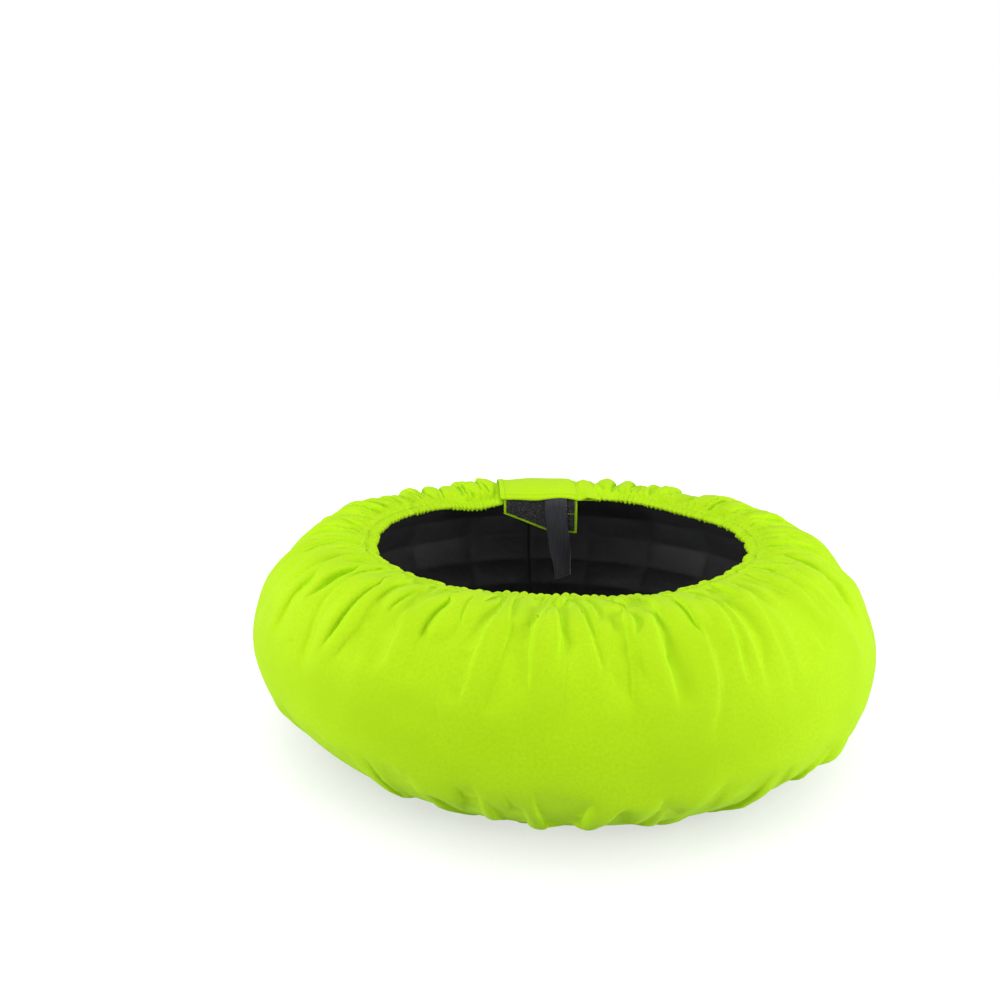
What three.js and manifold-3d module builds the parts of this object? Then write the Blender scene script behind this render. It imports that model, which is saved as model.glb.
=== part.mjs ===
// A motorcycle tyre warmer for a rear wheel, closed in the form it takes round a tyre that lies on its side.
// It is a strip wrapped into a ring: a fabric cover with elastic in both hems, thermal felt, a heating wire
// that runs to and fro along the ring, and a dark lining. Its two ends meet under a flap with hook-and-loop tape.
// Millimetres, +Z up. The origin is on the floor, on the axis of the ring. The closure is at the back, near +Y.
import * as THREE from "three";
import { mergeVertices } from "three/addons/utils/BufferGeometryUtils.js";
import Module from "manifold-3d";

// The ring, measured outside the cover
const crownRadius = 340; // at the middle of the tread
const sideRadius = 256; // where the side is highest
const hemRadius = 210; // at the gathered edge
const overallHeight = 212;
const hemDrop = 19; // from the highest folds down to the upper hem
const lowerHemRise = 17; // from the floor up to the lower hem
const restRadius = 236; // middle of the flat ring that lies on the floor
const restWidth = 15;
const shoulderFullness = 0.44; // of the upper curve: 0.55 is an ellipse, and less is more pointed
const lowerFullness = 0.38; // of the curve from the tread down to the floor
const upperSkirtBulge = 0.45; // share of each skirt's width where its curve turns
const lowerSkirtBulge = 0.35;

// Layers, from the outside in
const coverThickness = 1.2;
const feltThickness = 5;
const wireDiameter = 2.4;
const liningThickness = 1.2;
const layerGap = 0.3; // between pieces that lie on each other
const foldedGap = 0.8; // between the folded cover and the plain layers under it
const wireGap = 0.5; // on each side of a wire

// Gathers of the cover
const foldCount = 46;
const foldHeight = 8; // of the tallest fold, above the plain section
const plainEndLength = 24; // of the strip at each end, which isn't gathered

// Closure. Places along the ring are in millimetres from its middle, and positive is to the left from the front.
const closureAngle = THREE.MathUtils.degToRad(96.5);
const coverLeftEnd = 54;
const coverRightEnd = -49;
const flapLeftEdge = 60;
const flapRightEdge = -58;
const flapThickness = 1.2;
const flapOverhang = 2; // below its bend over the upper hem
const flapSeamWidth = 8; // of the flap's edge that is sewn down
const tapeThickness = 1.5;
const tapeMargin = 5; // of plain fabric round a tape
const hookTapeWidth = 38;
const tongueShortSide = 8; // that the tongue hangs below its bend over the hem, at its left
const tongueLongSide = 37; // and at its right
const tongueSquareEnd = 34; // of its right end, which is cut straight
const strapMiddle = -19;
const strapWidth = 30;
const strapThickness = 1.5;
const strapSewnLength = 20;
const strapHang = 100; // below its bend
const hangBend = 14; // radius of the bend over the hem

// Hem elastic
const elasticWidth = 8;
const elasticThickness = 1.5;
const elasticEndMargin = 3;

// Heating wire
const wireRuns = 4;
const wireRunSpacing = 44;
const wireFirstColumn = 2;
const wireLastColumn = 33;
const wireBend = 6; // length that a bend takes up along either run
const leadBend = 3;
const jointLength = 8; // of the crimped barrel that joins a lead to the heating wire
const jointDiameter = 2.8;

// Cable grommet, temperature switch and thermal fuse
const grommetColumn = 34;
const grommetBore = 9;
const grommetWall = 2;
const grommetFlangeWidth = 4;
const grommetFlangeThickness = 2;
const grommetBevel = 0.9; // of the flange's and the bore's outer edges
const grommetClearance = 0.4;
const protectorColumn = 33.5;
const protectorOffset = 18; // of switch and fuse, from the middle of the tread
const tempSwitchLength = 20;
const tempSwitchWidth = 8;
const tempSwitchThickness = 5;
const fuseLength = 13;
const fuseDiameter = 4.4;
const pocketClearance = 2; // round either, in the felt
const toolLength = 40; // of the tools that cut the pockets and the grommet's hole
const leadSpacing = 3.4; // of the two supply leads where they come through the grommet

// How finely curved pieces are divided
const layerColumns = 36;
const panelColumns = 6;
const elasticColumns = 40;
const wireSides = 4;
const roundSides = 16;

const wasm = await Module();
wasm.setup();

const { degToRad, lerp, smoothstep } = THREE.MathUtils;

// Section
// The cover's outer face without its folds, as stations along the section from the upper hem over the tread
// to the lower hem. r and z are the station's place, nr and nz its outward normal, s its distance along the
// section, and fold the share of the full fold height there. Some have a name, for what starts or ends there.

function sectionStations() {
  const top = overallHeight - foldHeight;
  const middle = overallHeight / 2;
  const shoulder = crownRadius - sideRadius;
  const restOutside = restRadius + restWidth / 2;
  const restInside = restRadius - restWidth / 2;
  const point = (r, z) => new THREE.Vector2(r, z);
  const upperHem = point(hemRadius, overallHeight - hemDrop);
  const highest = point(sideRadius, top);
  const crown = point(crownRadius, middle);
  const restOuter = point(restOutside, 0);
  const restInner = point(restInside, 0);
  const lowerHem = point(hemRadius, lowerHemRise);
  const curves = [
    [new THREE.QuadraticBezierCurve(upperHem, point(lerp(hemRadius, sideRadius, upperSkirtBulge), top), highest),
      [[0, 0.55], [0.22, 0.8, "upperSeam"], [0.58, 1]]],
    [new THREE.CubicBezierCurve(highest, point(sideRadius + shoulder * shoulderFullness, top),
      point(crownRadius, lerp(middle, top, shoulderFullness)), crown),
      [[0, 1], [0.27, 0.75, "feltStart"], [0.52, 0.35], [0.77, 0.08]]],
    [new THREE.CubicBezierCurve(crown, point(crownRadius, lerp(middle, 0, lowerFullness)),
      point(lerp(restOutside, crownRadius, lowerFullness), 0), restOuter),
      [[0, 0, "crown"], [0.23, 0.1], [0.48, 0.45, "flapEnd"], [0.74, 0.55, "feltEnd"]]],
    [new THREE.LineCurve(restOuter, restInner), [[0, 0], [1, 0]]],
    [new THREE.QuadraticBezierCurve(restInner, point(lerp(hemRadius, restInside, lowerSkirtBulge), 0), lowerHem),
      [[0.5, 0.5, "lowerSeam"], [1, 0.4]]],
  ];
  const stations = [];
  for (const [curve, marks] of curves) {
    for (const [t, fold, name] of marks) {
      const place = curve.getPoint(t);
      const along = curve.getTangent(t);
      const before = stations.at(-1);
      const s = before ? before.s + Math.hypot(place.x - before.r, place.y - before.z) : 0;
      stations.push({ r: place.x, z: place.y, nr: -along.y, nz: along.x, s, fold, name });
    }
  }
  return stations;
}

const stations = sectionStations();
const stationNamed = (name) => stations.findIndex((station) => station.name === name);
const upperSeam = stationNamed("upperSeam");
const lowerSeam = stationNamed("lowerSeam");
const feltFirst = stationNamed("feltStart");
const feltLast = stationNamed("feltEnd");
const flapLast = stationNamed("flapEnd");
const lastStation = stations.length - 1;
const crownS = stations[stationNamed("crown")].s;

// The section at any distance s, straight between stations. Below 0 it is the way a loose panel hangs: over
// the hem in a bend, and then straight down.
const bendStart = Math.atan2(-stations[0].nr, stations[0].nz);
const bendLength = (Math.PI / 2 - bendStart) * hangBend;

function sectionAt(s) {
  if (s < 0) {
    const angle = bendStart + Math.min(-s, bendLength) / hangBend;
    return {
      r: stations[0].r + hangBend * (Math.sin(bendStart) - Math.sin(angle)),
      z: stations[0].z + hangBend * (Math.cos(angle) - Math.cos(bendStart)) - Math.max(0, -s - bendLength),
      nr: -Math.sin(angle),
      nz: Math.cos(angle),
    };
  }
  let k = 0;
  while (k < lastStation - 1 && stations[k + 1].s < s) k++;
  const [a, b] = [stations[k], stations[k + 1]];
  const t = (s - a.s) / (b.s - a.s);
  return { r: lerp(a.r, b.r, t), z: lerp(a.z, b.z, t), nr: lerp(a.nr, b.nr, t), nz: lerp(a.nz, b.nz, t) };
}

// A point on the section at distance s, turned to an angle round the ring and raised off the plain section
function turned(section, angle, height) {
  const r = section.r + section.nr * height;
  return new THREE.Vector3(r * Math.cos(angle), r * Math.sin(angle), section.z + section.nz * height);
}

// The angle of a place beside the closure, which keeps its distance in millimetres at every radius
const angleBeside = (place, radius) => closureAngle + place / radius;

// Solids

function geometryOf(points, triangles) {
  const geometry = new THREE.BufferGeometry().setFromPoints(points);
  geometry.setIndex(triangles);
  geometry.computeVertexNormals();
  return geometry;
}

// A closed sheet between an outer and an inner grid of points. i runs round the ring and j along the section.
function sheet(columns, rows, outer, inner) {
  const points = [];
  for (const face of [outer, inner]) {
    for (let i = 0; i <= columns; i++) for (let j = 0; j <= rows; j++) points.push(face(i, j));
  }
  const half = points.length / 2;
  const o = (i, j) => i * (rows + 1) + j;
  const n = (i, j) => half + o(i, j);
  const triangles = [];
  const quad = (a, b, c, d) => triangles.push(a, b, c, a, c, d);
  for (let i = 0; i < columns; i++) {
    for (let j = 0; j < rows; j++) {
      quad(o(i, j), o(i, j + 1), o(i + 1, j + 1), o(i + 1, j));
      quad(n(i, j), n(i + 1, j), n(i + 1, j + 1), n(i, j + 1));
    }
    quad(o(i, 0), o(i + 1, 0), n(i + 1, 0), n(i, 0));
    quad(o(i + 1, rows), o(i, rows), n(i, rows), n(i + 1, rows));
  }
  for (let j = 0; j < rows; j++) {
    quad(o(0, j + 1), o(0, j), n(0, j), n(0, j + 1));
    quad(o(columns, j), o(columns, j + 1), n(columns, j + 1), n(columns, j));
  }
  return geometryOf(points, triangles);
}

// A round tube along places that each have a point and the surface normal there
function tube(path, diameter) {
  const points = [];
  path.forEach(({ point, normal }, k) => {
    const before = path[Math.max(k - 1, 0)].point;
    const after = path[Math.min(k + 1, path.length - 1)].point;
    const along = after.clone().sub(before).normalize();
    const across = along.clone().cross(normal).normalize();
    const up = across.clone().cross(along);
    for (let side = 0; side < wireSides; side++) {
      const turn = ((side + 0.5) / wireSides) * 2 * Math.PI;
      points.push(point.clone()
        .addScaledVector(up, (Math.cos(turn) * diameter) / 2)
        .addScaledVector(across, (Math.sin(turn) * diameter) / 2));
    }
  });
  const triangles = [];
  const at = (k, side) => k * wireSides + (side % wireSides);
  const last = path.length - 1;
  for (let side = 0; side < wireSides; side++) {
    for (let k = 0; k < last; k++) {
      triangles.push(at(k, side), at(k + 1, side + 1), at(k + 1, side));
      triangles.push(at(k, side), at(k, side + 1), at(k + 1, side + 1));
    }
    if (side > 1) {
      triangles.push(at(0, 0), at(0, side), at(0, side - 1));
      triangles.push(at(last, 0), at(last, side - 1), at(last, side));
    }
  }
  return geometryOf(points, triangles);
}

function solidOf(geometry, matrix) {
  const bare = geometry.index ? geometry.toNonIndexed() : geometry.clone();
  bare.deleteAttribute("normal");
  if (bare.getAttribute("uv")) bare.deleteAttribute("uv");
  if (matrix) bare.applyMatrix4(matrix);
  const merged = mergeVertices(bare, 1e-4);
  return new wasm.Manifold(new wasm.Mesh({
    numProp: 3,
    vertProperties: merged.attributes.position.array,
    triVerts: new Uint32Array(merged.index.array),
  }));
}

function cut(geometry, tools) {
  let solid = solidOf(geometry);
  for (const { shape, matrix } of tools) solid = solid.subtract(solidOf(shape, matrix));
  const mesh = solid.getMesh();
  const made = new THREE.BufferGeometry();
  made.setAttribute("position", new THREE.BufferAttribute(mesh.vertProperties, 3));
  made.setIndex(new THREE.BufferAttribute(mesh.triVerts, 1));
  return made;
}

// Materials

const material = (color, roughness, metalness = 0) =>
  new THREE.MeshStandardMaterial({ color, roughness, metalness });
const coverFabric = material("#b4ee12", 0.85);
const heatFelt = material("#c9c4b4", 0.95);
const liningFabric = material("#1b1b1d", 0.8);
const loopTape = material("#2b2b30", 0.95);
const hookTape = material("#17171a", 0.6);
const elasticWeb = material("#1f1f21", 0.8);
const siliconeWire = material("#a3372c", 0.5);
const supplyWire = material("#3a3a3c", 0.5);
const blackRubber = material("#1a1a1a", 0.7);
const phenolic = material("#4a3524", 0.45);
const tinnedCase = material("#b9bcc0", 0.35, 0.9);

const part = new THREE.Group();

function add(name, geometry, look, parent = part) {
  const mesh = new THREE.Mesh(geometry, look);
  mesh.name = name;
  parent.add(mesh);
  return mesh;
}

// Outer cover
// Each fold has three columns: a valley and the two edges of its crest. Folds differ in width and height, lean
// a little as they run out to the tread, and die away at the strip's two ends.

function foldColumns() {
  const widths = [];
  for (let k = 0; k < foldCount; k++) widths.push(1 + 0.3 * Math.sin(2.4 * k) + 0.2 * Math.sin(1.3 * k + 1));
  const total = widths.reduce((sum, w) => sum + w, 0);
  const columns = [];
  let start = 0;
  widths.forEach((width, k) => {
    const rise = 0.75 + 0.25 * Math.sin(4.1 * k + 0.7);
    const lean = (0.3 * width * Math.sin(0.8 * k)) / total;
    for (const [share, height] of [[0, 0], [0.3, 1], [0.72, 0.8]]) {
      columns.push({ u: (start + share * width) / total, rise: rise * height, lean });
    }
    start += width;
  });
  columns.push({ u: 1, rise: 0, lean: 0 });
  return columns;
}

function coverGeometry() {
  const columns = foldColumns();
  const plainEnd = plainEndLength / (2 * Math.PI * crownRadius);
  const face = (depth) => (i, j) => {
    const station = stations[j];
    const { u, rise, lean } = columns[i];
    const nearEnd = smoothstep(Math.min(u, 1 - u), plainEnd, 3 * plainEnd);
    const left = angleBeside(coverLeftEnd, station.r);
    const right = angleBeside(coverRightEnd, station.r) + 2 * Math.PI;
    const drift = lean * nearEnd * Math.cos((station.s / crownS) * Math.PI);
    const height = foldHeight * station.fold * rise * nearEnd;
    return turned(station, lerp(left, right, u + drift), height - depth);
  };
  return sheet(columns.length - 1, lastStation, face(0), face(coverThickness));
}

// A frame on the section at angle and distance s: x along the ring, y along the section, z outwards
function frameOn(angle, s) {
  const section = sectionAt(s);
  const outwards = turned({ r: 0, z: 0, nr: section.nr, nz: section.nz }, angle, 1).normalize();
  const along = new THREE.Vector3(-Math.sin(angle), Math.cos(angle), 0);
  const across = outwards.clone().cross(along);
  return new THREE.Matrix4().makeBasis(along, across, outwards)
    .setPosition(layerPoint(angle, s, 0));
}

// Felt and lining share one set of columns and the section's stations, so that their flat facets stay parallel
const layerStart = closureAngle + layerGap / sideRadius;
const layerStep = (2 * Math.PI - (2 * layerGap) / sideRadius) / layerColumns;
const layerAngle = (i) => layerStart + i * layerStep;
const grommetAngle = layerAngle(grommetColumn);
const protectorAngle = layerAngle(protectorColumn);

// A point in those facets, at a depth under the plain section
function layerPoint(angle, s, depth) {
  const cell = Math.min(Math.max(Math.floor((angle - layerStart) / layerStep), 0), layerColumns - 1);
  const share = (angle - layerAngle(cell)) / layerStep;
  const section = sectionAt(s);
  const a = turned(section, layerAngle(cell), -depth);
  return a.lerp(turned(section, layerAngle(cell + 1), -depth), share);
}

const feltDepth = coverThickness + foldedGap;
const wireLayerDepth = feltDepth + feltThickness + wireGap;
const wireDepth = wireLayerDepth + wireDiameter / 2;
const liningDepth = wireLayerDepth + wireDiameter + wireGap;
const liningSideDepth = 2 * coverThickness + foldedGap + elasticThickness;

function feltGeometry() {
  const face = (depth) => (i, j) => turned(stations[feltFirst + j], layerAngle(i), -depth);
  return sheet(layerColumns, feltLast - feltFirst, face(feltDepth), face(feltDepth + feltThickness));
}

// The lining lies under the wires on the tread and close under the cover at the sides
function liningGeometry() {
  const depthAt = (station) =>
    station >= feltFirst && station <= feltLast ? liningDepth : liningSideDepth;
  const face = (thickness) => (i, j) => {
    const station = upperSeam + j;
    return turned(stations[station], layerAngle(i), -depthAt(station) - thickness);
  };
  return sheet(layerColumns, lowerSeam - upperSeam, face(0), face(liningThickness));
}

// Elastic
// A flat band sewn inside each hem, from one end of the strip to the other.

function elasticGeometry(hem, inwards) {
  const middle = Math.abs(stations[hem].s - stations[inwards].s) / 2;
  const start = stations[hem].s + Math.sign(inwards - hem) * Math.max(middle - elasticWidth / 2, layerGap);
  const end = start + Math.sign(inwards - hem) * elasticWidth;
  const [from, to] = [Math.min(start, end), Math.max(start, end)];
  const sections = [sectionAt(from), sectionAt(to)];
  const face = (under) => (i, j) => {
    const left = angleBeside(coverLeftEnd + elasticEndMargin, hemRadius);
    const right = angleBeside(coverRightEnd - elasticEndMargin, hemRadius) + 2 * Math.PI;
    return turned(sections[j], lerp(left, right, i / elasticColumns), -feltDepth - under);
  };
  return sheet(elasticColumns, 1, face(0), face(elasticThickness));
}

// Closure panels
// A panel has a column at each of its places, from right to left, and along the section a row at each s.

function panel(places, rowsAt, heightAt, thickness) {
  const rowCount = rowsAt(0).length - 1;
  const face = (under) => (i, j) => {
    const share = (places[i] - places[0]) / (places.at(-1) - places[0]);
    const section = sectionAt(rowsAt(share)[j]);
    return turned(section, angleBeside(places[i], section.r), heightAt(i) - under);
  };
  return sheet(places.length - 1, rowCount, face(0), face(thickness));
}

function evenly(right, left, columns) {
  return Array.from({ length: columns + 1 }, (_, i) => lerp(right, left, i / columns));
}

const stationRows = (first, last) => stations.slice(first, last + 1).map((station) => station.s);

// Rows of a panel that hangs below its bend over the hem by a length
function hangingRows(length, first, last) {
  const bendRows = [1, 2 / 3, 1 / 3].map((share) => -share * bendLength);
  return [-bendLength - length, ...bendRows, ...stationRows(first, last)];
}

const tongueHeight = 0;
const loopHeight = tongueHeight + layerGap + tapeThickness;
const hookHeight = loopHeight + layerGap + tapeThickness;
const flapHeight = hookHeight + layerGap + flapThickness;
const tongueLeft = coverLeftEnd - layerGap;
const tongueRight = coverRightEnd + layerGap;

// The tongue's lower edge is straight along its square end, and slants from there to the short side
function tongueHangAt(share) {
  const squareShare = tongueSquareEnd / (tongueLeft - tongueRight);
  return lerp(tongueLongSide, tongueShortSide, Math.max(0, (share - squareShare) / (1 - squareShare)));
}

function tongueGeometry() {
  const rows = (share) => hangingRows(tongueHangAt(share), 0, lastStation);
  return panel(evenly(tongueRight, tongueLeft, panelColumns), rows, () => tongueHeight, coverThickness);
}

function loopTapeGeometry() {
  const places = evenly(tongueRight + tapeMargin, tongueLeft - tapeMargin, panelColumns);
  const rows = (share) => hangingRows(tongueHangAt(share) - tapeMargin, 0, flapLast - 1);
  return panel(places, rows, () => loopHeight, tapeThickness);
}

// The flap is sewn to the cover along its right edge and lies on the tapes for the rest of its width
function flapGeometry() {
  const raisedFrom = tongueRight + tapeMargin / 2;
  const places = [flapRightEdge, flapRightEdge + flapSeamWidth,
    ...evenly(raisedFrom, flapLeftEdge, panelColumns)];
  const heightAt = (i) => (i < 2 ? layerGap + flapThickness : flapHeight);
  return panel(places, () => hangingRows(flapOverhang, 0, flapLast), heightAt, flapThickness);
}

function hookTapeGeometry() {
  const left = coverLeftEnd - tapeMargin;
  const start = strapSewnLength + tapeMargin;
  const rows = () => [start, ...stationRows(0, flapLast - 1).filter((s) => s > start)];
  return panel(evenly(left - hookTapeWidth, left, panelColumns), rows, () => hookHeight, tapeThickness);
}

function strapGeometry() {
  const places = evenly(strapMiddle - strapWidth / 2, strapMiddle + strapWidth / 2, 2);
  const sewnRows = hangingRows(strapHang, 0, lastStation).filter((s) => s < strapSewnLength);
  return panel(places, () => [...sewnRows, strapSewnLength], () => hookHeight, strapThickness);
}

// Wires
// A route is a list of [angle, s] corners. It gets a point wherever it crosses a facet's edge.

function wirePath(route) {
  const path = [];
  const put = (angle, s) => {
    const section = sectionAt(s);
    const point = layerPoint(angle, s, wireDepth);
    const normal = layerPoint(angle, s, wireDepth - 1).sub(point).normalize();
    path.push({ point, normal: section.nr < 0 ? normal.negate() : normal });
  };
  put(...route[0]);
  route.slice(1).forEach(([angle, s], k) => {
    const [fromAngle, fromS] = route[k];
    const shares = [1];
    for (let i = 0; i <= layerColumns; i++) shares.push((layerAngle(i) - fromAngle) / (angle - fromAngle));
    for (const station of stations) shares.push((station.s - fromS) / (s - fromS));
    shares.filter((share) => share > 0.02 && (share < 0.98 || share === 1))
      .sort((a, b) => a - b)
      .forEach((share) => put(lerp(fromAngle, angle, share), lerp(fromS, s, share)));
  });
  return path;
}

const runS = (run) => crownS + (run - (wireRuns - 1) / 2) * wireRunSpacing;

function heatingRoute() {
  const route = [];
  const corner = wireBend / crownRadius;
  const near = layerAngle(wireLastColumn);
  const far = layerAngle(wireFirstColumn);
  for (let run = 0; run < wireRuns; run++) {
    const [from, to] = run % 2 === 0 ? [near, far] : [far, near];
    const way = Math.sign(to - from) * corner;
    if (run > 0) route.push([from, runS(run) - wireBend]);
    route.push([run > 0 ? from + way : from, runS(run)]);
    route.push([run < wireRuns - 1 ? to - way : to, runS(run)]);
    if (run < wireRuns - 1) route.push([to, runS(run) + wireBend]);
  }
  return route;
}

// Along the ring, an angle that spans a length at the wires' depth
const spanAngle = (length) => length / (crownRadius - wireDepth);

function leadRoutes() {
  const near = layerAngle(wireLastColumn);
  const lead = (side, length) => {
    const s = crownS + side * protectorOffset;
    const inner = protectorAngle - spanAngle(length / 2 + layerGap);
    const outer = protectorAngle + spanAngle(length / 2 + layerGap);
    const start = crownS + (side * leadSpacing) / 2;
    const end = side < 0 ? runS(0) : runS(wireRuns - 1);
    const before = spanAngle(leadBend);
    const joint = [near + spanAngle(layerGap + jointLength), near + spanAngle(layerGap)];
    const linkEnd = joint[0] + spanAngle(layerGap);
    return {
      supply: [[grommetAngle, start], [grommetAngle - before, start], [outer + before, s], [outer, s]],
      link: [[inner, s], [inner - before, s], [linkEnd + before, end], [linkEnd, end]],
      joint: joint.map((angle) => [angle, end]),
    };
  };
  return { live: lead(1, tempSwitchLength), neutral: lead(-1, fuseLength) };
}

// Cable grommet
// A rubber bush through cover and felt, with a flange outside. Its axis is the ring's outward direction.

function grommetGeometry() {
  const bore = grommetBore / 2;
  const body = bore + grommetWall;
  const flange = body + grommetFlangeWidth;
  const inner = -(feltDepth + feltThickness);
  const outer = layerGap + grommetFlangeThickness;
  const profile = [[bore, inner], [body, inner], [body, layerGap], [flange, layerGap],
    [flange, outer - grommetBevel], [flange - grommetBevel, outer],
    [bore + grommetBevel, outer], [bore, outer - grommetBevel], [bore, inner]];
  const turnedBush = new THREE.LatheGeometry(profile.map(([r, z]) => new THREE.Vector2(r, z)), roundSides);
  return turnedBush.rotateX(Math.PI / 2);
}

function boxTool(length, width, matrix) {
  return { shape: new THREE.BoxGeometry(length, width, toolLength), matrix };
}

function grommetHole(matrix) {
  const radius = grommetBore / 2 + grommetWall + grommetClearance;
  const hole = new THREE.CylinderGeometry(radius, radius, toolLength, roundSides);
  return { shape: hole.rotateX(Math.PI / 2), matrix };
}

// Assembly

const grommetFrame = frameOn(grommetAngle, crownS);
const tempSwitchFrame = frameOn(protectorAngle, crownS + protectorOffset);
const fuseFrame = frameOn(protectorAngle, crownS - protectorOffset);

add("outer_cover", cut(coverGeometry(), [grommetHole(grommetFrame)]), coverFabric);
add("top_hem_elastic", elasticGeometry(0, upperSeam), elasticWeb);
add("bottom_hem_elastic", elasticGeometry(lastStation, lowerSeam), elasticWeb);
add("insulation_felt", cut(feltGeometry(), [
  grommetHole(grommetFrame),
  boxTool(tempSwitchLength + pocketClearance, tempSwitchWidth + pocketClearance, tempSwitchFrame),
  boxTool(fuseLength + pocketClearance, fuseDiameter + pocketClearance, fuseFrame),
]), heatFelt);
add("inner_lining", liningGeometry(), liningFabric);

add("closure_tongue", tongueGeometry(), coverFabric);
add("tongue_loop_tape", loopTapeGeometry(), loopTape);
add("flap_hook_tape", hookTapeGeometry(), hookTape);
add("closure_flap", flapGeometry(), coverFabric);
add("pull_strap", strapGeometry(), loopTape);

add("heating_wire", tube(wirePath(heatingRoute()), wireDiameter), siliconeWire);
const leads = leadRoutes();
add("supply_lead_live", tube(wirePath(leads.live.supply), wireDiameter), supplyWire);
add("supply_lead_neutral", tube(wirePath(leads.neutral.supply), wireDiameter), supplyWire);
add("switch_lead", tube(wirePath(leads.live.link), wireDiameter), supplyWire);
add("fuse_lead", tube(wirePath(leads.neutral.link), wireDiameter), supplyWire);
add("live_wire_joint", tube(wirePath(leads.live.joint), jointDiameter), tinnedCase);
add("neutral_wire_joint", tube(wirePath(leads.neutral.joint), jointDiameter), tinnedCase);

const grommet = new THREE.Group();
grommet.applyMatrix4(grommetFrame);
part.add(grommet);
add("cable_grommet", grommetGeometry(), blackRubber, grommet);

const protectorBase = wireDepth + wireDiameter / 2;
const tempSwitch = new THREE.Group();
tempSwitch.applyMatrix4(tempSwitchFrame);
part.add(tempSwitch);
const tempSwitchCase = new THREE.BoxGeometry(tempSwitchLength, tempSwitchWidth, tempSwitchThickness);
tempSwitchCase.translate(0, 0, tempSwitchThickness / 2 - protectorBase);
add("temperature_switch", tempSwitchCase, phenolic, tempSwitch);

const fuse = new THREE.Group();
fuse.applyMatrix4(fuseFrame);
part.add(fuse);
const fuseCase = new THREE.CylinderGeometry(fuseDiameter / 2, fuseDiameter / 2, fuseLength, roundSides);
fuseCase.rotateZ(Math.PI / 2).translate(0, 0, fuseDiameter / 2 - protectorBase);
add("thermal_fuse", fuseCase, tinnedCase, fuse);

export default part;
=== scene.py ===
# A motorcycle tyre warmer that lies on a pale floor, in the form it takes round a tyre.
# The gathered cover is one strip of cloth, shaped in code by crests, creases, scallops and a seam groove on a
# fine grid. The closure's panels, the tapes, the strap and the lining are grids too. Lengths are in metres.
import math

import bmesh
import bpy
import numpy as np
from mathutils import Matrix, Vector


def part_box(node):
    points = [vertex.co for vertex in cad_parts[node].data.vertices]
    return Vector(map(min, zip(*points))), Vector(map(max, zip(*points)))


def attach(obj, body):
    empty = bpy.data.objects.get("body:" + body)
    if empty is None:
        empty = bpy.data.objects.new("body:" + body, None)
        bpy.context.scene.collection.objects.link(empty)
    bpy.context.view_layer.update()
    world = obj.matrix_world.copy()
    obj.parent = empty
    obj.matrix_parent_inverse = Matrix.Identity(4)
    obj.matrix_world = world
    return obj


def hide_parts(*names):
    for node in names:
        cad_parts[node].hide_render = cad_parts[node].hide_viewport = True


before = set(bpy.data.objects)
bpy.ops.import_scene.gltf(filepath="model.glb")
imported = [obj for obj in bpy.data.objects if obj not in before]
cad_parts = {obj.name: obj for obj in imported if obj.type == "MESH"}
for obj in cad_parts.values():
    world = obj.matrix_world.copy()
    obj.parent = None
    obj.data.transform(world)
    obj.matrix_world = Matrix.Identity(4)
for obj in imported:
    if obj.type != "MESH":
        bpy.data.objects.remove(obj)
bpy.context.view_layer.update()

MM = 0.001

# The ring, as the CAD model has it: the radii and heights of its section. A shoulder of 0 is a straight line,
# and one of 1 a sharp corner. A skirt's bulge places the control point between its two radii.
COVER_LOW, COVER_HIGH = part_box("outer_cover")
CROWN_R = (COVER_HIGH.x - COVER_LOW.x) / 2
HEIGHT = COVER_HIGH.z
FOLD_HEIGHT = 8 * MM
SIDE_R = 256 * MM
HEM_R = 210 * MM
HEM_DROP = 19 * MM
LOWER_HEM_RISE = 17 * MM
REST_R = 236 * MM
REST_WIDTH = 15 * MM
SHOULDER = 0.44
LOWER_SHOULDER = 0.38
UPPER_SKIRT_BULGE = 0.45
LOWER_SKIRT_BULGE = 0.35
HANG_BEND = 14 * MM
LONGEST_HANG = 200 * MM

# The closure. A place along the ring is a length from its middle, positive to the left from the front.
CLOSURE_ANGLE = math.radians(96.5)
COVER_LEFT = 54 * MM
COVER_RIGHT = -49 * MM

FLAP_LEFT = 60 * MM
FLAP_RIGHT = -80 * MM
TONGUE_HANG_LEFT = 8 * MM
TONGUE_HANG_RIGHT = 37 * MM
TONGUE_SQUARE_END = 34 * MM
STRAP_MIDDLE = -19 * MM
STRAP_WIDTH = 31 * MM
STRAP_SEWN = 20 * MM
STRAP_HANG = 100 * MM
HOOK_TAPE_WIDTH = 38 * MM
TAPE_MARGIN = 5 * MM

# Thicknesses, and the heights of the closure's outer faces above the plain section
CLOTH = 1.2 * MM
TAPE = 1.5 * MM
LAYER_GAP = 0.3 * MM
LOOP_TOP = LAYER_GAP + TAPE
HOOK_TOP = LOOP_TOP + LAYER_GAP + TAPE
ELASTIC = 1.1 * MM
LINING_SIDE_DEPTH = 4.8 * MM
LINING_TREAD_DEPTH = 11.6 * MM

# The quilting of the lining: the width of its channels, how many cross seams it has, how far it puffs between
# them, and how far round the ring one end laps over the other
QUILT_WIDTH = 44 * MM
QUILT_COLUMNS = 22
QUILT_PUFF = 3.2 * MM
LINING_LAP = math.radians(1.8)

# Where the sewing lies: how far a stitch stands over the cloth, the tongue's seam and its tape inside its edges,
# and the cross seam under its bend
STITCH_LIFT = 0.3 * MM
TONGUE_EDGE_SEAM = 1.6 * MM
LOOP_INSET = 3.4 * MM
CROSS_SEAM_DROP = 9 * MM

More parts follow.
